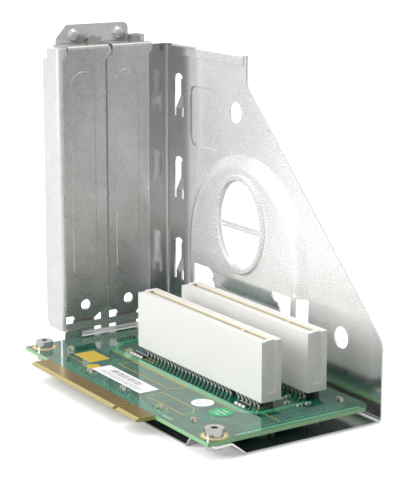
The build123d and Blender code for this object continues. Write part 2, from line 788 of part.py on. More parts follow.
def slot_cover():
    """Blank cover: tab, face with a long flat bead, and a foot that steps behind the rail."""
    mid_x = cover_front_x - cover_thickness / 2
    foot_x = wall_front_x - sheet - cover_foot_gap - cover_thickness / 2
    section = folded(((cover_front_x - cover_tab_length, cover_top_z - cover_thickness / 2),
                      (mid_x, cover_top_z - cover_thickness / 2), (mid_x, cover_joggle_top_z),
                      (foot_x, cover_joggle_foot_z), (foot_x, cover_tip_z)),
                     [step_radius, step_radius, step_radius], cover_thickness)
    cover = prism_y(section, cover_y, tab_right_y)
    cover &= prism_x(cover_outline(), cover_front_x - cover_tab_length, cover_front_x)
    cover -= cover_screw_notch()
    center = (cover_center_y, cover_hole_z)
    cover -= prism_x(disc(center, cover_hole_diameter / 2), cover_front_x - cover_thickness, cover_front_x)
    cover = cover_bead(cover)
    for z in cover_nicks:
        for y in (cover_y, cover_y + cover_width):
            cover -= prism_x(diamond((y, z), cover_nick_depth), cover_front_x - cover_thickness,
                             cover_front_x)
    return cover


def cover_bead(cover):
    """Long rounded field raised a little from the face, hollow behind."""
    length = cover_bead_top_z - cover_bead_foot_z
    place = Pos(cover_center_y, (cover_bead_top_z + cover_bead_foot_z) / 2) * Rot(0, 0, 90)

    def slab(width, x_base):
        foot = Plane.YZ.offset(x_base) * place * SlotOverall(length - cover_bead_width + width, width)
        head = Plane.YZ.offset(x_base + cover_bead_raise) * place * SlotOverall(
            length - cover_bead_width + width - 2 * cover_bead_run, width - 2 * cover_bead_run)
        return loft([foot, head])
    cover += slab(cover_bead_width, cover_front_x)
    return cover - slab(cover_bead_width, cover_front_x - cover_thickness)


def cover_screw_notch():
    """Open slot in the tab for the screw, entered from the free edge."""
    half = cover_screw_diameter / 2 + cover_slot_clearance
    outline = disc((cover_screw_x, cover_screw_y), half)
    outline += rect(cover_screw_x - half, cover_screw_x + half, cover_screw_y, tab_right_y)
    return prism_z(outline, cover_top_z - cover_thickness, cover_top_z)


# Screws and nuts

def cover_screw():
    """Hexagon head screw with a domed rim and a plain recess, standing on the cover's tab."""
    corner = cover_screw_head / 2
    head = extrude(RegularPolygon(corner, 6), cover_screw_head_height)
    head &= Cone(corner + cover_screw_head_height, corner - cover_screw_dome,
                 cover_screw_head_height + cover_screw_dome, align=(Align.CENTER, Align.CENTER, Align.MIN))
    head -= Pos(0, 0, cover_screw_head_height - screw_recess_depth) * extrude(
        RegularPolygon(screw_recess / 2, 6), screw_recess_depth)
    shank_length = cover_thickness + sheet + shelf_nut_height + screw_tip
    shank = Cylinder(cover_screw_diameter / 2, shank_length,
                     align=(Align.CENTER, Align.CENTER, Align.MAX))
    return Pos(cover_screw_x, cover_screw_y, cover_top_z) * (head + shank)


def weld_nut(corners, bore, height):
    """Hexagon nut welded under a sheet, hanging below it from z = 0."""
    return prism_z(RegularPolygon(corners / 2, 6, rotation=30) - Circle(bore / 2), -height, 0)


def board_screw(x):
    """Cheese head with a recess, seated on the board."""
    head = Cylinder(board_screw_head / 2, board_screw_head_height,
                    align=(Align.CENTER, Align.CENTER, Align.MIN))
    head -= Pos(0, 0, board_screw_head_height - screw_recess_depth) * extrude(
        RegularPolygon(screw_recess / 2, 6), screw_recess_depth)
    shank_length = board_thickness + sheet + board_nut_height + screw_tip
    shank = Cylinder(board_screw_diameter / 2, shank_length,
                     align=(Align.CENTER, Align.CENTER, Align.MAX))
    return Pos(x, board_screw_y, 0) * (head + shank)


# Small parts and labels on the board

def chip(x, y, size, turn=0):
    """Small surface part with a chamfered top, seated on the board."""
    body = Box(*size, align=(Align.CENTER, Align.CENTER, Align.MIN))
    body = chamfer(body.faces().sort_by(Axis.Z)[-1].edges(), chip_edge)
    return Pos(x, y, 0) * Rot(0, 0, turn) * body


def resistor_packs():
    chips = []
    for (x, y), count in zip(resistor_banks, resistor_counts):
        chips += [chip(x + i * resistor_pitch, y, resistor_size) for i in range(count)]
    return Compound(chips)


def flat_label(outline):
    return prism_z(outline, 0, label_thickness)


def all_nodes():
    nodes = {
        "side_plate_and_base": side_and_base(),
        "rear_frame": rear_frame(),
        "riser_board": riser_board(),
        "edge_contacts_top": edge_contacts(0, finger_thickness),
        "edge_contacts_bottom": edge_contacts(board_under_z - finger_thickness, board_under_z),
        "edge_capacitors": Compound([chip(x, y, capacitor_size) for x, y in capacitor_spots]),
        "resistor_packs": resistor_packs(),
        "slot_chips": Compound([chip(x, y, chip_size, 90) for x, y in chip_spots]),
        "part_label": flat_label(rect(part_label[0] - part_label[2] / 2, part_label[0] + part_label[2] / 2,
                                      part_label[1] - part_label[3] / 2, part_label[1] + part_label[3] / 2)),
        "white_sticker": flat_label(disc(white_spot[:2], white_spot[2] / 2)),
        "green_sticker": flat_label(disc(green_spot[:2], green_spot[2] / 2)),
    }
    cover = slot_cover()
    screw = cover_screw()
    nut = Pos(cover_screw_x, cover_screw_y, shelf_top_z - sheet) * weld_nut(
        shelf_nut_corners, cover_screw_diameter, shelf_nut_height)
    for i in range(slot_count):
        across = Pos(0, i * slot_pitch, 0)
        connector_start = connector_y + i * slot_pitch
        nodes[f"slot_cover_{i + 1}"] = across * cover
        nodes[f"cover_screw_{i + 1}"] = across * screw
        nodes[f"shelf_nut_{i + 1}"] = across * nut
        nodes[f"connector_{i + 1}_housing"] = connector_housing(connector_start)
        nodes[f"connector_{i + 1}_contacts"] = connector_contacts(connector_start)
    for i, x in enumerate(board_screw_spots):
        nodes[f"board_screw_{i + 1}"] = board_screw(x)
        nodes[f"board_nut_{i + 1}"] = Pos(x, board_screw_y, pad_top_z - sheet) * weld_nut(
            board_nut_corners, board_screw_diameter, board_nut_height)
    return nodes


def write_nodes():
    """Write every node with the origin at the bottom centre of the whole object."""
    nodes = all_nodes()
    box = Compound(list(nodes.values())).bounding_box()
    to_origin = Pos(-box.center().X, -box.center().Y, -box.min.Z)
    os.makedirs("parts", exist_ok=True)
    for name, shape in nodes.items():
        export_step(to_origin * shape, f"parts/{name}.step")
    print("size", box.size, "origin shift", to_origin.position)


write_nodes()
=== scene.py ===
import math

import bpy
import numpy as np
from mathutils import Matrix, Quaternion, Vector


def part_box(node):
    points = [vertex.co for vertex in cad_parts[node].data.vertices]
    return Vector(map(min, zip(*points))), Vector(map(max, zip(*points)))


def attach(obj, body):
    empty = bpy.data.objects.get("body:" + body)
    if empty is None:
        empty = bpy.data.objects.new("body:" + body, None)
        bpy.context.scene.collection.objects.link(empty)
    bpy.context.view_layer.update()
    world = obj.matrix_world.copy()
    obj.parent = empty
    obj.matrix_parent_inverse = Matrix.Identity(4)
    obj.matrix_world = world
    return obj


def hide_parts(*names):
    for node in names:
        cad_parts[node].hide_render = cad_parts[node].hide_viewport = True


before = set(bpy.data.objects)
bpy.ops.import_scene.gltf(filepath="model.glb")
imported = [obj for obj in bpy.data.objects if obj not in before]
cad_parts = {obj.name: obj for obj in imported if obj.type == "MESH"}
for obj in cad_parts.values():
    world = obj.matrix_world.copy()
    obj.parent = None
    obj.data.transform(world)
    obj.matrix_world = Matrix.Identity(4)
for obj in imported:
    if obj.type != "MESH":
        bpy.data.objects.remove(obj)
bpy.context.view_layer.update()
print("frame loaded:", len(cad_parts), "nodes")

mm = 0.001
film = 0.035        # copper and ink stand this far above the solder mask, in mm

# Datum of the board: the rear near corner of its top face. Board places below are in mm from it.
boardSettings = {"tabDepth": 7.6, "thickness": 1.57, "fingerPitch": 1.27}
boardLow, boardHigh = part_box("riser_board")
boardOrigin = np.array([boardLow.x, boardLow.y + boardSettings["tabDepth"] * mm, boardHigh.z])
boardLength = (boardHigh.x - boardLow.x) / mm
boardWidth = (boardHigh.y - boardOrigin[1]) / mm


def onBoard(points):
    # points in mm from the board's datum, as metres in the frame
    return np.asarray(points, float) * mm + boardOrigin


def boardBox(node):
    # lowest and highest corner of a CAD node, in mm from the board's datum
    low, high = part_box(node)
    return (np.array(low) - boardOrigin) / mm, (np.array(high) - boardOrigin) / mm


# Mesh helpers: a shape is a vertex array and a list of face arrays

def meshPiece(name, shape, material):
    # one piece, given in mm from the board's datum, that rides on the part
    verts, blocks = shape
    faces = [face for block in blocks for face in block.tolist()]
    mesh = bpy.data.meshes.new(name)
    mesh.from_pydata(onBoard(verts).tolist(), [], faces)
    mesh.validate()
    mesh.materials.append(material)
    piece = bpy.data.objects.new(name, mesh)
    bpy.context.scene.collection.objects.link(piece)
    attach(piece, "root")
    return piece


def joinShapes(shapes):
    # several shapes as one: each one's faces count on from the vertices before it
    counts = [len(verts) for verts, _ in shapes]
    starts = np.concatenate([[0], np.cumsum(counts)[:-1]])
    blocks = [block + start for (_, faces), start in zip(shapes, starts) for block in faces]
    return np.concatenate([verts for verts, _ in shapes]), blocks


def stackedRings(outline, centers, levels):
    # Copies of a closed outline, carried up through levels of (scale, height).
    # Vertex = centre + scale of the level x outline point, at the level's height.
    # Neighbouring rings are joined by quads, and the first and last ring are closed.
    outline = np.asarray(outline, float)
    centers = np.asarray(centers, float).reshape(-1, 2)
    levels = np.asarray(levels, float)
    n, m, h = len(outline), len(centers), len(levels)
    flat = centers[:, None, None] + levels[None, :, None, :1] * outline[None, None]
    height = np.broadcast_to(levels[None, :, None, 1:], (m, h, n, 1))
    verts = np.concatenate([flat, height], -1).reshape(-1, 3)
    k = np.arange(n)
    nxt = (k + 1) % n
    wall = np.stack([k, nxt, nxt + n, k + n], -1)
    walls = wall[None] + n * np.arange(h - 1)[:, None, None]
    copyStart = n * h * np.arange(m)
    sides = (walls.reshape(1, -1, 4) + copyStart[:, None, None]).reshape(-1, 4)
    bottom = k[::-1][None] + copyStart[:, None]
    top = k[None] + n * (h - 1) + copyStart[:, None]
    return verts, [sides, bottom, top]


def rectangle(width, depth):
    # the four corners about the middle, anticlockwise
    x, y = width / 2, depth / 2
    return [(-x, -y), (x, -y), (x, y), (-x, y)]


def circle(radius, sides):
    # points at equal angles on a circle
    angle = np.arange(sides) * 2 * np.pi / sides
    return np.stack([np.cos(angle), np.sin(angle)], -1) * radius


def blocksAt(size, spots, foot, height):
    # upright blocks of one size, one at each spot
    return stackedRings(rectangle(*size), spots, [(1, foot), (1, foot + height)])


def discsAt(radius, sides, spots):
    # discs of one size on the board, as high as a film
    return stackedRings(circle(radius, sides), spots, [(1, 0), (1, film)])


def flatBand(points, width, closed=False):
    # Band of constant width along a path on the board, as high as a film, with mitred corners.
    # Side point = path point +- half width x mitre, and the mitre is the sum of the unit normals of the
    # two runs that meet there, divided by one plus their dot product.
    p = np.asarray(points, float)
    if closed:
        before, after = np.roll(p, 1, 0), np.roll(p, -1, 0)
    else:
        before = np.vstack([2 * p[0] - p[1], p[:-1]])
        after = np.vstack([p[1:], 2 * p[-1] - p[-2]])
    normalIn, normalOut = leftNormal(p - before), leftNormal(after - p)
    mitre = (normalIn + normalOut) / (1 + (normalIn * normalOut).sum(1, keepdims=True))
    left, right = p + mitre * width / 2, p - mitre * width / 2
    n = len(p)
    rows = [(right, 0), (left, 0), (left, film), (right, film)]
    verts = np.concatenate([np.column_stack([xy, np.full(n, float(z))]) for xy, z in rows])
    k = np.arange(n if closed else n - 1)
    nxt = (k + 1) % n
    blocks = [np.stack([a * n + k, b * n + k, b * n + nxt, a * n + nxt], -1)
              for a, b in ((0, 1), (1, 2), (2, 3), (3, 0))]
    if not closed:
        blocks.append(np.array([[3 * n, 2 * n, n, 0], [n - 1, 2 * n - 1, 3 * n - 1, 4 * n - 1]]))
    return verts, blocks


def leftNormal(runs):
    # unit vectors that point to the left of each run
    return np.stack([-runs[:, 1], runs[:, 0]], -1) / np.linalg.norm(runs, axis=1, keepdims=True)


def flatRing(center, outer, inner, height, sides):
    # flat ring: the outer and the inner circle, each low and high, joined all round
    circles = ((outer, 0), (outer, height), (inner, height), (inner, 0))
    verts = np.concatenate([np.column_stack([circle(r, sides) + center, np.full(sides, float(z))])
                            for r, z in circles])
    k = np.arange(sides)
    nxt = (k + 1) % sides
    ends = [(a * sides, (a + 1) % 4 * sides) for a in range(4)]
    return verts, [np.stack([a + k, a + nxt, b + nxt, b + k], -1) for a, b in ends]


# Material helpers

def newMaterial(name):
    # a material with its nodes, its links and its shader
    material = bpy.data.materials.new(name)
    material.use_nodes = True
    nodes, links = material.node_tree.nodes, material.node_tree.links
    return material, nodes, links, nodes["Principled BSDF"]


def setOrLink(links, socket, value):
    # a socket takes another node's output, a number or a colour
    if isinstance(value, bpy.types.NodeSocket):
        links.new(value, socket)
    elif isinstance(value, (int, float)):
        socket.default_value = value
    else:
        socket.default_value = (*value, 1)


def objectPlace(nodes, links):
    # the piece's own coordinates, split into X, Y and Z
    coordinates = nodes.new("ShaderNodeTexCoord")
    place = nodes.new("ShaderNodeSeparateXYZ")
    links.new(coordinates.outputs["Object"], place.inputs["Vector"])
    return place


def noiseValue(nodes, links, scale, detail, stretch=(1, 1, 1), low=0.3, high=0.7):
    # noise on Object coordinates, features per metre = scale, spread over 0 to 1
    coordinates = nodes.new("ShaderNodeTexCoord")
    mapping = nodes.new("ShaderNodeMapping")
    mapping.inputs["Scale"].default_value = stretch
    noise = nodes.new("ShaderNodeTexNoise")
    noise.inputs["Scale"].default_value = scale
    noise.inputs["Detail"].default_value = detail
    links.new(coordinates.outputs["Object"], mapping.inputs["Vector"])
    links.new(mapping.outputs["Vector"], noise.inputs["Vector"])
    return mapValue(nodes, links, noise.outputs["Fac"], low, high, 0, 1)


def mapValue(nodes, links, source, low, high, outLow, outHigh):
    # straight line from (low, outLow) to (high, outHigh), held flat outside
    remap = nodes.new("ShaderNodeMapRange")
    for socket, value in zip(("From Min", "From Max", "To Min", "To Max"), (low, high, outLow, outHigh)):
        remap.inputs[socket].default_value = value
    links.new(source, remap.inputs["Value"])
    return remap.outputs["Result"]


def mathValue(nodes, links, operation, first, second):
    # one step of arithmetic, where each side is a node's output or a number
    node = nodes.new("ShaderNodeMath")
    node.operation = operation
    setOrLink(links, node.inputs[0], first)
    setOrLink(links, node.inputs[1], second)
    return node.outputs[0]


def insideRange(nodes, links, source, low, high, soft):
    # 1 between low and high, falling to 0 over a soft width on both sides
    rise = mapValue(nodes, links, source, low - soft, low, 0, 1)
    fall = mapValue(nodes, links, source, high, high + soft, 1, 0)
    return mathValue(nodes, links, "MULTIPLY", rise, fall)


def mixColor(nodes, links, factor, first, second, mode="MIX"):
    # two colours mixed: for colours the node takes its inputs 0, 6 and 7 and gives its output 2
    mix = nodes.new("ShaderNodeMix")
    mix.data_type = "RGBA"
    mix.blend_type = mode
    for socket, value in zip((mix.inputs[0], mix.inputs[6], mix.inputs[7]), (factor, first, second)):
        setOrLink(links, socket, value)
    return mix.outputs[2]


def greyFrom(nodes, links, share):
    # the same share in all three channels
    grey = nodes.new("ShaderNodeCombineColor")
    for channel in ("Red", "Green", "Blue"):
        links.new(share, grey.inputs[channel])
    return grey.outputs["Color"]


def addBump(nodes, links, shader, source, depth, strength):
    # raises the surface by the source, full depth in mm
    bump = nodes.new("ShaderNodeBump")
    bump.inputs["Distance"].default_value = depth * mm
    bump.inputs["Strength"].default_value = strength
    links.new(source, bump.inputs["Height"])
    links.new(bump.outputs["Normal"], shader.inputs["Normal"])


def shade(color, factor):
    # the colour times a factor, at most 1 in each channel
    return [min(1.0, c * factor) for c in color]


# Zinc-coated sheet steel

zincSettings = {
    "cloudScale": 240, "cloudDetail": 3, "speckleScale": 2100, "speckleDetail": 2,
    "drawnScale": 900, "drawnDetail": 2, "drawnStretch": (1, 1, 0.05), "drawnShade": 0.97,
    "polishFrom": -0.05, "polishTo": 0.06, "toothDepth": 0.02,
}
# One zinc in lit and shaded copies: the side plate's near-white colour is painted light, and the covers' grey
# is painted shade.
sheetSettings = {
    "side": {"color": (0.96, 0.965, 0.96), "metallic": 0.42, "roughness": 0.25,
             "contrast": 0.03, "grain": 0.04, "tooth": 0.03},
    "frame": {"color": (0.74, 0.74, 0.74), "metallic": 0.88, "roughness": 0.30,
              "contrast": 0.04, "grain": 0.07, "tooth": 0.15},
    "cover": {"color": (0.54, 0.54, 0.53), "metallic": 0.85, "roughness": 0.30,
              "contrast": 0.05, "grain": 0.12, "tooth": 0.15},
}


def zincSheet(kind):
    # Cloudy spangle, fine speckle, drawing lines up the sheet, and a polish that varies with the speckle.
    # The tone and the roughness are given back too, for a sheet that changes from end to end.
    z, s = zincSettings, sheetSettings[kind]
    material, nodes, links, shader = newMaterial(kind + "Zinc")
    shader.inputs["Metallic"].default_value = s["metallic"]
    clouds = noiseValue(nodes, links, z["cloudScale"], z["cloudDetail"])
    speckle = noiseValue(nodes, links, z["speckleScale"], z["speckleDetail"])
    drawn = noiseValue(nodes, links, z["drawnScale"], z["drawnDetail"], stretch=z["drawnStretch"])
    dark, light = shade(s["color"], 1 - s["contrast"]), shade(s["color"], 1 + s["contrast"])
    cloudy = mixColor(nodes, links, clouds, dark, light)
    specks = mixColor(nodes, links, speckle, [1 - s["grain"]] * 3, (1.0, 1.0, 1.0))
    speckled = mixColor(nodes, links, 1.0, cloudy, specks, "MULTIPLY")
    lines = mixColor(nodes, links, drawn, [z["drawnShade"]] * 3, (1.0, 1.0, 1.0))
    tone = mixColor(nodes, links, 1.0, speckled, lines, "MULTIPLY")
    smooth, matt = s["roughness"] + z["polishFrom"], s["roughness"] + z["polishTo"]
    rough = mapValue(nodes, links, speckle, 0, 1, smooth, matt)
    links.new(tone, shader.inputs["Base Color"])
    links.new(rough, shader.inputs["Roughness"])
    addBump(nodes, links, shader, speckle, z["toothDepth"], s["tooth"])
    return material, tone, rough


# shares of the frame's colour, a painted highlight on the left flange and painted shade on the right wall,
# and the depths (Y) at which the flange ends and the right wall starts
frameTones = {"flange": 1.12, "wall": 0.5, "flangeEnd": 20.5, "wallStart": 61.5, "blend": 1.5}


def frameSheet():
    # the rear frame's sheet, paler on the left flange (painted highlight) and darker on the right wall
    # (painted shade)
    s = frameTones
    material, tone, _ = zincSheet("frame")
    nodes, links = material.node_tree.nodes, material.node_tree.links
    depth = objectPlace(nodes, links).outputs["Y"]
    flangeEnd, wallStart = (boardOrigin[1] + s[key] * mm for key in ("flangeEnd", "wallStart"))
    blend = s["blend"] * mm
    near = mapValue(nodes, links, depth, flangeEnd, flangeEnd + blend, s["flange"], 1.0)
    far = mapValue(nodes, links, depth, wallStart, wallStart + blend, 1.0, s["wall"])
    # painted highlight on the flange and painted shade on the wall, as shares of the colour
    share = greyFrom(nodes, links, mathValue(nodes, links, "MULTIPLY", near, far))
    toned = mixColor(nodes, links, 1.0, tone, share, "MULTIPLY")
    links.new(toned, nodes["Principled BSDF"].inputs["Base Color"])
    return material


# the polished zones, the rear one also darkened as painted shade: down the height (Z) from footFrom to
# footTo, and back (X) from rearFrom to rearTo
sidePolishAndShade = {
    "metallic": 0.95, "smoothing": -0.08, "rearShadeShare": 0.64,
    "footFrom": 36.0, "footTo": 16.0, "rearFrom": 14.5, "rearTo": 11.0,
}


def sideSheet():
    # The side plate's sheet: matt on its upper part, and smoother and more like a mirror along its foot
    # and at its rear end. The rear end's colour is darker too: painted shade.
    s = sidePolishAndShade
    material, tone, rough = zincSheet("side")
    nodes, links = material.node_tree.nodes, material.node_tree.links
    shader = nodes["Principled BSDF"]
    place = objectPlace(nodes, links)
    footFrom, footTo = (boardOrigin[2] + s[key] * mm for key in ("footFrom", "footTo"))
    rearFrom, rearTo = (boardOrigin[0] + s[key] * mm for key in ("rearFrom", "rearTo"))
    foot = mapValue(nodes, links, place.outputs["Z"], footTo, footFrom, 1, 0)
    rear = mapValue(nodes, links, place.outputs["X"], rearTo, rearFrom, 1, 0)
    zone = mathValue(nodes, links, "MAXIMUM", foot, rear)
    metallic = mapValue(nodes, links, zone, 0, 1, sheetSettings["side"]["metallic"], s["metallic"])
    links.new(metallic, shader.inputs["Metallic"])
    smoother = mathValue(nodes, links, "MULTIPLY", zone, s["smoothing"])
    links.new(mathValue(nodes, links, "ADD", rough, smoother), shader.inputs["Roughness"])
    # the rear end's colour darkened: painted shade
    share = greyFrom(nodes, links, mapValue(nodes, links, rear, 0, 1, 1.0, s["rearShadeShare"]))
    links.new(mixColor(nodes, links, 1.0, tone, share, "MULTIPLY"), shader.inputs["Base Color"])
    return material


# Plated metal of the fasteners, tails and bare pads

plateSettings = {
    "wearScale": 1800, "wearDetail": 3, "wearLow": 0.35, "wearShade": 0.86, "wearRoughness": 0.12,
}
metalSettings = {
    "nickel": {"name": "brightNickel", "color": (0.62, 0.61, 0.585), "roughness": 0.11, "metallic": 1.0},
    "zinc": {"name": "zincNut", "color": (0.66, 0.66, 0.66), "roughness": 0.28, "metallic": 1.0},
    "tin": {"name": "brightTin", "color": (0.90, 0.89, 0.86), "roughness": 0.3, "metallic": 0.3},
    # a dark copy of the bright tin for the inner rows of tails: painted shade
    "tinShade": {"name": "shadedTin", "color": (0.10, 0.10, 0.095), "roughness": 0.45, "metallic": 0.3},
    "padGold": {"name": "padGold", "color": (0.72, 0.54, 0.17), "roughness": 0.25, "metallic": 0.8},
}


def platedMetal(name, color, roughness, metallic):
    # a little unevenness in tone and polish, which go together
    s = plateSettings
    material, nodes, links, shader = newMaterial(name)
    shader.inputs["Metallic"].default_value = metallic
    worn = noiseValue(nodes, links, s["wearScale"], s["wearDetail"], low=s["wearLow"])
    tone = mixColor(nodes, links, worn, color, shade(color, s["wearShade"]))
    links.new(tone, shader.inputs["Base Color"])
    rough = mapValue(nodes, links, worn, 0, 1, roughness, roughness + s["wearRoughness"])
    links.new(rough, shader.inputs["Roughness"])
    return material


# Painted and printed films, paper and the bodies of the small parts.
# Coat is a clear gloss, and variation is how much darker the noise makes the colour.

paintSettings = {"detail": 3, "coatRoughness": 0.05, "toothDepth": 0.01, "tooth": 0.25}
filmSettings = {
    "busGreen": {"name": "maskOverCopper", "color": (0.060, 0.36, 0.17), "roughness": 0.08,
                 "coat": 0.6, "variation": 0.10, "scale": 500},
    "traceGreen": {"name": "maskOverTraces", "color": (0.040, 0.33, 0.19), "roughness": 0.08,
                   "coat": 0.6, "variation": 0.10, "scale": 500},
    "viaGreen": {"name": "tentedVias", "color": (0.045, 0.33, 0.20), "roughness": 0.15,
                 "coat": 0.4, "variation": 0.15, "scale": 800},
    "ink": {"name": "yellowInk", "color": (0.68, 0.46, 0.02), "roughness": 0.35,
            "coat": 0.2, "variation": 0.14, "scale": 1400},
    "paper": {"name": "labelPaper", "color": (0.86, 0.86, 0.87), "roughness": 0.55,
              "coat": 0.0, "variation": 0.03, "scale": 1200},
    "printGrey": {"name": "labelPrint", "color": (0.28, 0.28, 0.31), "roughness": 0.6,
                  "coat": 0.0, "variation": 0.25, "scale": 1200},
    "printGreen": {"name": "greenPrint", "color": (0.40, 0.66, 0.55), "roughness": 0.6,
                   "coat": 0.0, "variation": 0.25, "scale": 1200},
    "greenPaper": {"name": "greenLabel", "color": (0.02, 0.40, 0.15), "roughness": 0.4,
                   "coat": 0.1, "variation": 0.08, "scale": 1200},
    "ceramic": {"name": "ceramicBody", "color": (0.34, 0.22, 0.12), "roughness": 0.45,
                "coat": 0.0, "variation": 0.2, "scale": 1500},
    "darkChip": {"name": "darkBody", "color": (0.035, 0.032, 0.03), "roughness": 0.35,
                 "coat": 0.1, "variation": 0.2, "scale": 1500},
}


def paintedFilm(name, color, roughness, coat, variation, scale):
    # a faint uneven tone and a fine tooth
    s = paintSettings
    material, nodes, links, shader = newMaterial(name)
    uneven = noiseValue(nodes, links, scale, s["detail"])
    tone = mixColor(nodes, links, uneven, shade(color, 1 - variation), color)
    links.new(tone, shader.inputs["Base Color"])
    shader.inputs["Roughness"].default_value = roughness
    shader.inputs["Coat Weight"].default_value = coat
    shader.inputs["Coat Roughness"].default_value = s["coatRoughness"]
    addBump(nodes, links, shader, uneven, s["toothDepth"], s["tooth"])
    return material


# The board's laminate

laminateSettings = {
    "mask": (0.002, 0.070, 0.044), "maskLight": (0.004, 0.125, 0.075),
    "patchScale": 190, "patchDetail": 4, "patchLow": 0.46, "patchHigh": 0.54,
    "edge": (0.30, 0.62, 0.28), "fibreShade": 0.85, "fibreScale": 2600, "fibreStretch": (1, 1, 4),
    "tip": (0.56, 0.46, 0.15), "tipGroove": (0.34, 0.26, 0.07), "tabMask": (0.34, 0.28, 0.11),
    "faceSkin": 0.02, "tabStart": -0.3, "tabBlend": 0.05,
    "roughness": 0.07, "coat": 0.5, "coatRoughness": 0.03,
    "toothScale": 420, "toothDepth": 0.01, "tooth": 0.2, "fineDetail": 2,
}


def laminateMaterial():
    # Green solder mask on both faces, light laminate on the sawn edges, ochre on the bevelled contact
    # edge. The faces lie at the top and bottom heights of the board, and what lies between is edge.
    s = laminateSettings
    material, nodes, links, shader = newMaterial("boardLaminate")
    place = objectPlace(nodes, links)
    patches = noiseValue(nodes, links, s["patchScale"], s["patchDetail"],
                         low=s["patchLow"], high=s["patchHigh"])
    mask = mixColor(nodes, links, patches, s["mask"], s["maskLight"])
    skin = s["faceSkin"] * mm
    under = boardHigh.z - boardSettings["thickness"] * mm
    between = insideRange(nodes, links, place.outputs["Z"], under + skin, boardHigh.z - skin, skin / 4)
    fibres = noiseValue(nodes, links, s["fibreScale"], s["fineDetail"], stretch=s["fibreStretch"])
    edge = mixColor(nodes, links, fibres, shade(s["edge"], s["fibreShade"]), s["edge"])
    board = mixColor(nodes, links, between, mask, edge)
    tip = mixColor(nodes, links, contactGrooves(nodes, links), s["tipGroove"], s["tip"])
    tab = mixColor(nodes, links, between, s["tabMask"], tip)
    tabLine = boardOrigin[1] + s["tabStart"] * mm
    onTab = mapValue(nodes, links, place.outputs["Y"], tabLine - s["tabBlend"] * mm, tabLine, 1, 0)
    links.new(mixColor(nodes, links, onTab, board, tab), shader.inputs["Base Color"])
    shader.inputs["Roughness"].default_value = s["roughness"]
    shader.inputs["Coat Weight"].default_value = s["coat"]
    shader.inputs["Coat Roughness"].default_value = s["coatRoughness"]
    tooth = noiseValue(nodes, links, s["toothScale"], s["fineDetail"])
    addBump(nodes, links, shader, tooth, s["toothDepth"], s["tooth"])
    return material


def contactGrooves(nodes, links):
    # One groove per contact along X. Blender's wave repeats after 2 pi / (20 x scale) metres.
    wave = nodes.new("ShaderNodeTexWave")
    wave.bands_direction = "X"
    wave.inputs["Scale"].default_value = 2 * math.pi / (20 * boardSettings["fingerPitch"] * mm)
    coordinates = nodes.new("ShaderNodeTexCoord")
    links.new(coordinates.outputs["Object"], wave.inputs["Vector"])
    return wave.outputs["Fac"]


# The connectors' ivory plastic

# the slot colour and the peg colour are painted shade inside the card slot and on the pegs under the housing
housingSettings = {
    "color": (0.88, 0.875, 0.845), "flowShade": 0.97, "flowScale": 60, "slotShadeColor": (0.70, 0.64, 0.49),
    "pegShadeColor": (0.03, 0.027, 0.022), "slotHalf": 3.1, "endWall": 0.95, "skin": 0.06, "lift": 2.7,
    "blend": 0.02, "roughness": 0.42, "scatter": 0.12, "scatterRadius": (0.0016, 0.0012, 0.0007),
    "toothScale": 1500, "toothDepth": 0.01, "tooth": 0.3, "fineDetail": 2,
}


def housingMaterial(node):
    # Moulded ivory plastic with a fine tooth. Inside the card slot, which lies about the middle line
    # and below the top face, the colour is a darker beige: painted shade. The pegs under the housing are near
    # black: painted shade.
    s = housingSettings
    low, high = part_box(node)
    middle = (low.y + high.y) / 2
    material, nodes, links, shader = newMaterial(node + "_ivory")
    place = objectPlace(nodes, links)
    half, wall, skin, blend = (s[key] * mm for key in ("slotHalf", "endWall", "skin", "blend"))
    inY = insideRange(nodes, links, place.outputs["Y"], middle - half, middle + half, blend)
    inX = insideRange(nodes, links, place.outputs["X"], low.x + wall, high.x - wall, blend)
    below = mapValue(nodes, links, place.outputs["Z"], high.z - 2 * skin, high.z - skin, 1, 0)
    slotShade = mathValue(nodes, links, "MULTIPLY", mathValue(nodes, links, "MULTIPLY", inX, inY), below)
    flow = noiseValue(nodes, links, s["flowScale"], s["fineDetail"])
    plain = mixColor(nodes, links, flow, shade(s["color"], s["flowShade"]), s["color"])
    # painted shade inside the card slot
    body = mixColor(nodes, links, slotShade, plain, s["slotShadeColor"])
    foot = boardHigh.z + s["lift"] * mm - skin
    # painted shade: the pegs under the housing are near black
    pegShade = mapValue(nodes, links, place.outputs["Z"], foot - skin, foot, 1, 0)
    links.new(mixColor(nodes, links, pegShade, body, s["pegShadeColor"]), shader.inputs["Base Color"])
    shader.inputs["Roughness"].default_value = s["roughness"]
    shader.inputs["Subsurface Weight"].default_value = s["scatter"]
    shader.inputs["Subsurface Radius"].default_value = s["scatterRadius"]
    shader.inputs["Subsurface Scale"].default_value = 1.0
    tooth = noiseValue(nodes, links, s["toothScale"], s["fineDetail"])
    addBump(nodes, links, shader, tooth, s["toothDepth"], s["tooth"])
    return material


# The gold contact fingers

fingerSettings = {
    "rubbed": (0.27, 0.195, 0.07), "bright": (0.40, 0.30, 0.11),
    "scale": 1500, "detail": 3, "stretch": (1, 0.3, 1), "metallic": 0.85, "roughness": 0.2,
}


def fingerMaterial():
    # thin gold over nickel: brownish and rubbed along the length of each contact
    s = fingerSettings
    material, nodes, links, shader = newMaterial("goldFinger")
    shader.inputs["Metallic"].default_value = s["metallic"]
    worn = noiseValue(nodes, links, s["scale"], s["detail"], stretch=s["stretch"])
    links.new(mixColor(nodes, links, worn, s["rubbed"], s["bright"]), shader.inputs["Base Color"])
    shader.inputs["Roughness"].default_value = s["roughness"]
    return material


materials = {
    "side": sideSheet(), "frame": frameSheet(), "cover": zincSheet("cover")[0],
    "finger": fingerMaterial(), "board": laminateMaterial(),
    "housing1": housingMaterial("connector_1_housing"),
    "housing2": housingMaterial("connector_2_housing"),
}
materials.update({kind: platedMetal(**settings) for kind, settings in metalSettings.items()})
materials.update({kind: paintedFilm(**settings) for kind, settings in filmSettings.items()})

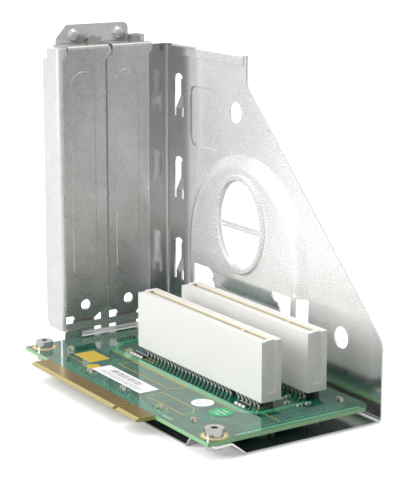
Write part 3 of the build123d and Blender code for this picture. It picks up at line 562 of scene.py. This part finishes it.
nodeMaterials = {
    "side_plate_and_base": "side", "rear_frame": "frame",
    "slot_cover_1": "cover", "slot_cover_2": "cover",
    "cover_screw_1": "nickel", "cover_screw_2": "nickel",
    "board_screw_1": "nickel", "board_screw_2": "nickel",
    "shelf_nut_1": "zinc", "shelf_nut_2": "zinc", "board_nut_1": "zinc", "board_nut_2": "zinc",
    "riser_board": "board", "edge_contacts_top": "finger", "edge_contacts_bottom": "finger",
    "connector_1_housing": "housing1", "connector_2_housing": "housing2",
    "connector_1_contacts": "tin", "connector_2_contacts": "tin",
    "edge_capacitors": "ceramic", "resistor_packs": "darkChip", "slot_chips": "ceramic",
    "part_label": "paper", "white_sticker": "paper", "green_sticker": "greenPaper",
}
for node, materialName in nodeMaterials.items():
    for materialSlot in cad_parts[node].material_slots:
        materialSlot.material = materials[materialName]
print("materials assigned:", len(materials))


# Copper under the mask

busSettings = {
    "width": 2.6, "path": [(16.5, 50), (16.5, 34.5), (22.5, 28.0), (113.5, 28.0), (118.0, 32.5), (118.0, 54)],
    "patch": [(100.5, 2.4), (107.5, 2.4)],
    "borderWidth": 1.6, "borderInset": 1.3, "borderFrom": 12.0, "borderEndInset": 4.5,
}


def copperBus():
    # the wide supply band, a patch at the end of the contacts and a light border along the far edge
    s = busSettings
    far = boardLength - s["borderInset"]
    border = [(far, s["borderFrom"]), (far, boardWidth - s["borderEndInset"])]
    shapes = [
        flatBand(s["path"], s["width"]),
        flatBand(s["patch"], s["borderWidth"]),
        flatBand(border, s["borderWidth"]),
    ]
    return meshPiece("copperBus", joinShapes(shapes), materials["busGreen"])


# Columns of vias: x, first y, last y, pitch
viaSettings = {
    "radius": 0.36, "sides": 8,
    "green": [(2.5, 15, 50, 1.9), (7.5, 15, 50, 1.9), (129.6, 14, 68, 1.5), (126.6, 14, 64, 1.5),
              (122.0, 61, 68, 1.8), (124.5, 57, 64, 1.8), (122.5, 40, 46, 1.8), (125.0, 36, 44, 1.8),
              (123.5, 20, 30, 1.5)]
             + [(x, 11.5, 17, 1.5) for x in (106.5, 108.6, 110.7, 112.8, 114.9)]
             + [(x, 15.5, 24.5, 1.5) for x in (35.4, 37.2, 39.0)]
             + [(x, 4.5, 12.5, 1.7) for x in (10.5, 12.4)],
    "gold": [(5.0, 25, 52, 2.0), (10.0, 23, 52, 2.2), (13.2, 26, 52, 2.0)],
}


def viaField(name, columns, material):
    # a disc at each place of each column
    s = viaSettings
    rows = [(x, np.arange(first, last, pitch)) for x, first, last, pitch in columns]
    spots = np.concatenate([np.column_stack([np.full(len(y), x), y]) for x, y in rows])
    return meshPiece(name, discsAt(s["radius"], s["sides"], spots), materials[material])


combSettings = {
    "start": 21.0, "end": 99.0, "width": 0.5, "seed": 7, "reach": (1.2, 6.5), "lean": (0.3, 2.4),
    "root": -0.6, "stem": 0.4, "fork": 0.8, "endRadius": 0.42, "endSides": 8,
}


def traceComb():
    # short traces that fan out of the contacts, with lengths and leans from a seeded generator
    s = combSettings
    random = np.random.default_rng(s["seed"])
    x = np.arange(s["start"], s["end"], boardSettings["fingerPitch"])
    reach = random.uniform(*s["reach"], len(x))
    lean = random.uniform(*s["lean"], len(x))
    bends = np.column_stack([x, s["stem"] + reach / 2])
    ends = np.column_stack([x - lean, s["fork"] + reach / 2 + lean])
    shapes = [flatBand([(start, s["root"]), bend, end], s["width"])
              for start, bend, end in zip(x, bends, ends)]
    shapes.append(discsAt(s["endRadius"], s["endSides"], ends))
    return meshPiece("edgeTraces", joinShapes(shapes), materials["traceGreen"])


# Yellow print on the mask

inkSettings = {
    "plate": {"place": (26.6, 15.6), "size": (13.2, 8.8)},
    "disc": {"place": (38.0, 9.8), "radius": 2.75, "sides": 28},
    "lineWidth": 0.26,
    "outlines": [[(41, 19.5), (41, 26), (80, 26), (80, 22.5), (76.5, 19.5)],
                 [(80, 8.5), (80, 15.5), (101, 15.5), (105, 12.5), (105, 8.5)]],
    "busLine": [(24, 26.3), (112.5, 26.3)],
    # rows of short marks: from, to, pitch
    "dashRows": [((20, 8.6), (34, 8.6), 2.0), ((114.2, 33), (114.2, 42), 1.5),
                 ((112.4, 54), (112.4, 63), 1.5), ((119.5, 33), (128, 33), 1.7),
                 ((25.5, 31), (25.5, 34), 0.9), ((27.3, 31), (27.3, 34), 0.9),
                 ((118.5, 44), (118.5, 52), 1.4)],
    "dashSize": (0.9, 0.5),
    "partMarks": [(45.2, 4.6), (46.1, 6.3), (70.2, 4.6), (71.1, 6.3), (95.7, 5.1), (96.6, 6.8),
                  (114.4, 7.6), (15.2, 13.0), (124.2, 64.2), (43.4, 3.4), (68.4, 3.4), (51, 12.5),
                  (56, 8.0)],
}


def boardInk():
    # plain printed fields, outlines and rows of short marks, with no letters
    s = inkSettings
    plate, disc = s["plate"], s["disc"]
    shapes = [blocksAt(plate["size"], [plate["place"]], 0, film),
              discsAt(disc["radius"], disc["sides"], [disc["place"]]),
              flatBand(s["busLine"], s["lineWidth"])]
    shapes += [flatBand(path, s["lineWidth"], closed=True) for path in s["outlines"]]
    for start, end, pitch in s["dashRows"]:
        count = int(math.dist(start, end) / pitch) + 1
        shapes.append(blocksAt(s["dashSize"], np.linspace(start, end, count), 0, film))
    shapes.append(blocksAt(s["dashSize"], s["partMarks"], 0, film))
    return meshPiece("boardInk", joinShapes(shapes), materials["ink"])


ringSettings = {"inkRadius": 4.95, "landRadius": 4.1, "boreRadius": 1.8, "sides": 40}


def screwLands():
    # a yellow ring and a tinned land round each board screw, read from the screws' own boxes
    s = ringSettings
    rings, lands = [], []
    for node in ("board_screw_1", "board_screw_2"):
        low, high = boardBox(node)
        center = (low[:2] + high[:2]) / 2
        rings.append(flatRing(center, s["inkRadius"], s["landRadius"], film, s["sides"]))
        lands.append(flatRing(center, s["landRadius"], s["boreRadius"], film / 2, s["sides"]))
    meshPiece("screwRings", joinShapes(rings), materials["ink"])
    meshPiece("screwLands", joinShapes(lands), materials["tin"])


copperBus()
viaField("greenVias", viaSettings["green"], "viaGreen")
viaField("goldPads", viaSettings["gold"], "padGold")
traceComb()
boardInk()
screwLands()
print("board films made")


# Tinned ends and solder lands of the small parts. Along is the long axis of the part, 0 for X, 1 for Y.

chipSettings = {
    "groups": [
        {"size": (2.0, 1.25, 0.9), "along": 0,
         "places": [(43.0, 5.5), (68.0, 5.5), (93.5, 6.0), (112.0, 8.5), (13.0, 14.0), (122.0, 65.0)]},
        {"size": (1.7, 2.6, 0.55), "along": 1,
         "places": [(31.6 + 2.3 * i, 32.2) for i in range(4)] + [(105.0 + 2.3 * i, 32.2) for i in range(3)]},
        {"size": (0.9, 1.6, 0.6), "along": 1,
         "places": [(114.6, 46.5), (119.4, 48.5), (119.4, 52.5), (110.0, 48.4), (109.0, 51.0)]},
    ],
    "cap": 0.42, "wrap": 0.03, "land": 0.45, "landShare": 0.9,
    "emptyLands": [(41.2 + 1.55 * i, 32.2) for i in range(5)], "emptySize": (0.85, 1.0), "emptyGap": 2.0,
}


def endCaps(places, size, along):
    # thin caps over the two ends of each part, and a land in front of each
    s = chipSettings
    width, depth, height = size
    half = size[along] / 2
    shift = np.eye(2)[along]
    if along == 0:
        capSize, landSize = (s["cap"], depth + 2 * s["wrap"]), (s["land"], depth * s["landShare"])
    else:
        capSize, landSize = (width + 2 * s["wrap"], s["cap"]), (width * s["landShare"], s["land"])
    places = np.asarray(places, float)
    capMiddle = shift * (half + s["wrap"] - s["cap"] / 2)
    landMiddle = shift * (half + s["wrap"] + s["land"] / 2)
    caps = [blocksAt(capSize, places + capMiddle * side, 0, height + s["wrap"]) for side in (-1, 1)]
    lands = [blocksAt(landSize, places + landMiddle * side, 0, film * 2) for side in (-1, 1)]
    return caps, lands


def chipTrim():
    # caps and lands of all small parts, and the bare gold lands of the row that carries none
    s = chipSettings
    caps, lands = [], []
    for group in s["groups"]:
        moreCaps, moreLands = endCaps(**group)
        caps += moreCaps
        lands += moreLands
    empty = np.asarray(s["emptyLands"])
    gold = [blocksAt(s["emptySize"], empty + (0, s["emptyGap"] / 2 * side), 0, film) for side in (-1, 1)]
    meshPiece("chipEnds", joinShapes(caps + lands), materials["tin"])
    meshPiece("emptyLands", joinShapes(gold), materials["padGold"])


chipTrim()
print("chip ends made")


# Contact tails of the connectors, bent inwards, and their solder on the underside

tailSettings = {
    "columns": 31, "skipped": 24, "first": 4.6, "pitch": 2.54, "stagger": 1.27, "thickness": 0.32,
    "rows": (-3.85, -1.35, 1.35, 3.85), "feet": (-2.55, -1.05, 1.05, 2.55), "widths": (1.0, 1.2, 1.2, 1.0),
    "top": 3.5, "bendTop": 2.6, "bendFoot": 0.45, "below": -2.6,
    # the outer rows are bright tin, and the inner ones a dark copy of it: painted shade
    "pairs": [("outer", (0, 3), "tin"), ("inner", (1, 2), "tinShade")],
}


def tailRow(start, middle, row):
    # One row of tails: a flat section carried down a path in (Y, Z), straight in the housing, slanting
    # towards the middle line, then straight through the board. The column at the key rib is skipped.
    s = tailSettings
    shift = s["stagger"] * (row % 2)
    columns = np.delete(np.arange(s["columns"]), s["skipped"])
    x = start + shift + columns * s["pitch"]
    top, foot = s["rows"][row], s["feet"][row]
    path = np.array([(foot, s["below"]), (foot, s["bendFoot"]), (top, s["bendTop"]), (top, s["top"])])
    corner = np.array(rectangle(s["widths"][row], s["thickness"]))
    vx = x[:, None, None] + corner[None, None, :, 0]
    vy = middle + path[None, :, None, 0] + corner[None, None, :, 1]
    vx, vy, vz = np.broadcast_arrays(vx, vy, path[None, :, None, 1])
    verts = np.stack([vx, vy, vz], -1).reshape(-1, 3)
    k = np.arange(4)
    ring = np.stack([k, (k + 1) % 4, (k + 1) % 4 + 4, k + 4], -1)
    stations = len(path)
    body = (ring[None] + 4 * np.arange(stations - 1)[:, None, None]).reshape(-1, 4)
    ends = np.array([[3, 2, 1, 0], 4 * (stations - 1) + k])
    one = np.concatenate([body, ends])
    faces = (one[None] + (np.arange(len(x)) * 4 * stations)[:, None, None]).reshape(-1, 4)
    return (verts, [faces]), np.column_stack([x, np.full(len(x), middle + foot)])


def connectorTails(index):
    # the four rows under one connector, in two pieces; the places of their feet are given back
    s = tailSettings
    low, high = boardBox(f"connector_{index}_housing")
    middle = (low[1] + high[1]) / 2
    rows = [tailRow(low[0] + s["first"], middle, row) for row in range(len(s["rows"]))]
    for name, picked, material in s["pairs"]:
        shape = joinShapes([rows[row][0] for row in picked])
        piece = meshPiece(f"{name}Tails{index}", shape, materials[material])
        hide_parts(f"connector_{index}_contacts")
    return np.concatenate([spots for _, spots in rows])


# rings of one solder joint, from its tip up to the board: share of the pad's radius, depth below the board
solderSettings = {"padRadius": 0.85, "sides": 8, "rings": [(0.38, 0.9), (0.6, 0.315), (1, 0)]}


def solderJoints(spots):
    # cones of solder under the board, one round each tail
    s = solderSettings
    levels = [(share, -boardSettings["thickness"] - depth) for share, depth in s["rings"]]
    shape = stackedRings(circle(s["padRadius"], s["sides"]), spots, levels)
    return meshPiece("solderJoints", shape, materials["tin"])


allFeet = np.concatenate([connectorTails(1), connectorTails(2)])
solderJoints(allFeet)
print("contact tails made:", len(allFeet))


# Round marks that the mould's pins leave on the ends of the housings

pinMarkSettings = {
    "radius": 0.62, "sides": 16, "height": 11.0, "inset": 0.95, "offset": 2.0,
    # share of the radius, height over the end face
    "rings": [(1, 0), (1, 0.05), (0.7, 0.05), (0.6, 0.01)],
}


def pinMarks():
    # low rings, turned so that their axis lies along X, on the far end face beside the recess
    s = pinMarkSettings
    shapes = []
    for index in (1, 2):
        low, high = boardBox(f"connector_{index}_housing")
        sides = (low[1] + s["inset"], high[1] - s["inset"])
        middle, half = low[2] + s["height"], s["offset"] / 2
        spots = [(y, z) for y in sides for z in (middle - half, middle + half)]
        levels = [(share, high[0] + rise) for share, rise in s["rings"]]
        verts, blocks = stackedRings(circle(s["radius"], s["sides"]), spots, levels)
        shapes.append((np.roll(verts, 1, axis=1), blocks))
    return meshPiece("pinMarks", joinShapes(shapes), materials["housing1"])


# Print on the labels: plain bars and short dashes

printSettings = {"height": 0.02, "dash": (0.75, 0.5)}
# Starts and ends are shares of the label's length, and barTall and the rows are shares of its width.
# They count from its middle. Steps and bar widths are in mm.
labelSettings = {
    "seed": 11, "bars": 34, "barStep": (0.32, 0.95), "barWidth": (0.16, 0.42),
    "barStart": -0.33, "barEnd": 0.44, "barTall": 0.34, "barRow": 0.17,
    "dashes": 24, "dashStep": (0.9, 1.7), "dashStart": -0.42, "dashEnd": 0.42, "dashRows": (-0.16, -0.31),
}


def labelPrint():
    # a row of bars over two rows of dashes, with steps and widths from a seeded generator
    p, s = printSettings, labelSettings
    low, high = boardBox("part_label")
    center, size = (low + high) / 2, high - low
    random = np.random.default_rng(s["seed"])
    barX = center[0] + size[0] * s["barStart"] + np.cumsum(random.uniform(*s["barStep"], s["bars"]))
    barX = barX[barX < center[0] + size[0] * s["barEnd"]]
    barY, tall = center[1] + size[1] * s["barRow"], size[1] * s["barTall"]
    shapes = [blocksAt((width, tall), [(x, barY)], high[2], p["height"])
              for x, width in zip(barX, random.uniform(*s["barWidth"], len(barX)))]
    for row in s["dashRows"]:
        steps = np.cumsum(random.uniform(*s["dashStep"], s["dashes"]))
        dashX = center[0] + size[0] * s["dashStart"] + steps
        dashX = dashX[dashX < center[0] + size[0] * s["dashEnd"]]
        spots = np.column_stack([dashX, np.full(len(dashX), center[1] + size[1] * row)])
        shapes.append(blocksAt(p["dash"], spots, high[2], p["height"]))
    return meshPiece("labelPrint", joinShapes(shapes), materials["printGrey"])


# step in mm, and for each row its share of the radius from the middle and its number of dashes
stickerSettings = {"step": 1.15, "rows": [(0.42, 3), (0.0, 5), (-0.42, 3)]}


def stickerPrint(node, name, material):
    # three rows of short dashes across a round sticker, the middle one longest
    p, s = printSettings, stickerSettings
    low, high = boardBox(node)
    center, radius = (low + high) / 2, (high[0] - low[0]) / 2
    spots = []
    for share, count in s["rows"]:
        x = center[0] + s["step"] * (np.arange(count) - (count - 1) / 2)
        spots.append(np.column_stack([x, np.full(count, center[1] + radius * share)]))
    shape = blocksAt(p["dash"], np.concatenate(spots), high[2], p["height"])
    return meshPiece(name, shape, materials[material])


pinMarks()
labelPrint()
stickerPrint("white_sticker", "whiteStickerPrint", "printGreen")
stickerPrint("green_sticker", "greenStickerPrint", "paper")
print("label print made")


# Floor, light and camera

floorSettings = {
    "size": 6.0, "white": 0.84, "grey": 0.44, "gradeStart": 0.17, "gradeEnd": 0.42,
    "cameraGain": 1.8, "glossGain": 0.94, "lightGain": 0.55,
}


def whiteFloor():
    # Matt floor, white where the object stands and grey towards the camera, outside the picture. What the
    # camera and the metal see of it is lighter than what lights the object, and keeps the shadow.
    s = floorSettings
    bpy.ops.mesh.primitive_plane_add(size=s["size"], location=(0, 0, 0))
    floor = bpy.context.object
    floor.name = "floor"
    material, nodes, links, shader = newMaterial("floorWhite")
    nodes.remove(shader)
    diffuse = nodes.new("ShaderNodeBsdfDiffuse")
    place = objectPlace(nodes, links)
    tone = mapValue(nodes, links, place.outputs["X"], s["gradeStart"], s["gradeEnd"], s["white"], s["grey"])
    path = nodes.new("ShaderNodeLightPath")
    mirrored = mirroredRay(nodes, links, path)
    glossGain = mapValue(nodes, links, mirrored, 0, 1, s["lightGain"], s["glossGain"])
    cameraGain = mapValue(nodes, links, path.outputs["Is Camera Ray"], 0, 1, 0, s["cameraGain"])
    gain = mathValue(nodes, links, "MAXIMUM", glossGain, cameraGain)
    links.new(mathValue(nodes, links, "MULTIPLY", tone, gain), diffuse.inputs["Color"])
    links.new(diffuse.outputs[0], nodes["Material Output"].inputs["Surface"])
    floor.data.materials.append(material)


def mirroredRay(nodes, links, path):
    # 1 for a ray that a mirror or clear plastic sends on
    return mathValue(nodes, links, "MAXIMUM", path.outputs["Is Glossy Ray"],
                     path.outputs["Is Transmission Ray"])


worldSettings = {
    "light": (-0.72, -0.55, 0.42), "dark": 0.10, "bright": 1.05, "from": -0.7, "to": 0.8, "mirrored": 0.92,
}


def whiteWorld():
    # Soft light that grows towards one side: brightness follows the dot product of the ray's direction
    # with the light's. The camera sees plain white there, and the metal a light grey.
    s = worldSettings
    world = bpy.data.worlds.new("studio")
    bpy.context.scene.world = world
    world.use_nodes = True
    nodes, links = world.node_tree.nodes, world.node_tree.links
    background = nodes["Background"]
    background.inputs["Color"].default_value = (1, 1, 1, 1)
    coordinates = nodes.new("ShaderNodeTexCoord")
    toward = nodes.new("ShaderNodeVectorMath")
    toward.operation = "DOT_PRODUCT"
    toward.inputs[1].default_value = s["light"]
    links.new(coordinates.outputs["Generated"], toward.inputs[0])
    soft = mapValue(nodes, links, toward.outputs["Value"], s["from"], s["to"], s["dark"], s["bright"])
    path = nodes.new("ShaderNodeLightPath")
    camera = path.outputs["Is Camera Ray"]
    mirrored = mirroredRay(nodes, links, path)
    grey = mathValue(nodes, links, "MULTIPLY", mirrored, s["mirrored"])
    seen = mathValue(nodes, links, "MAXIMUM", camera, grey)
    unseen = mathValue(nodes, links, "SUBTRACT", 1.0, mathValue(nodes, links, "MAXIMUM", camera, mirrored))
    rest = mathValue(nodes, links, "MULTIPLY", unseen, soft)
    links.new(mathValue(nodes, links, "ADD", seen, rest), background.inputs["Strength"])


lampSettings = [
    {"name": "keyLamp", "place": (-0.55, -1.30, 0.62), "size": 0.8, "power": 12.5},
    {"name": "topLamp", "place": (-0.25, 0.25, 1.5), "size": 1.2, "power": 9.0},
]
lampAim = Vector((0, 0, 0.06))


def studioLamps():
    # square lamps, all aimed near the middle of the part
    for s in lampSettings:
        lamp = bpy.data.lights.new(s["name"], "AREA")
        lamp.size = s["size"]
        lamp.energy = s["power"]
        lampObject = bpy.data.objects.new(s["name"], lamp)
        lampObject.location = s["place"]
        look = lampAim - Vector(s["place"])
        lampObject.rotation_euler = look.to_track_quat("-Z", "Y").to_euler()
        bpy.context.scene.collection.objects.link(lampObject)


cameraSettings = {
    "place": (0.500528, -0.314182, 0.194144), "aim": (0.00994, 0.01702, 0.07320),
    "roll": 0.25, "lens": 115.289, "sensor": 36.0, "shift": (-0.04, -0.10), "clipStart": 0.01,
}


def photoCamera():
    # the photo's view: place, aim and lens were solved from points of the board, the covers and the plate
    s = cameraSettings
    data = bpy.data.cameras.new("camera")
    data.lens = s["lens"]
    data.sensor_width = s["sensor"]
    data.shift_x, data.shift_y = s["shift"]
    data.clip_start = s["clipStart"]
    camera = bpy.data.objects.new("camera", data)
    camera.location = s["place"]
    look = (Vector(s["aim"]) - Vector(s["place"])).to_track_quat("-Z", "Y")
    camera.rotation_mode = "QUATERNION"
    camera.rotation_quaternion = look @ Quaternion((0, 0, 1), math.radians(s["roll"]))
    bpy.context.scene.collection.objects.link(camera)
    bpy.context.scene.camera = camera


whiteFloor()
whiteWorld()
studioLamps()
photoCamera()
bpy.context.scene.view_settings.view_transform = "Standard"
print("stage, light and camera set")
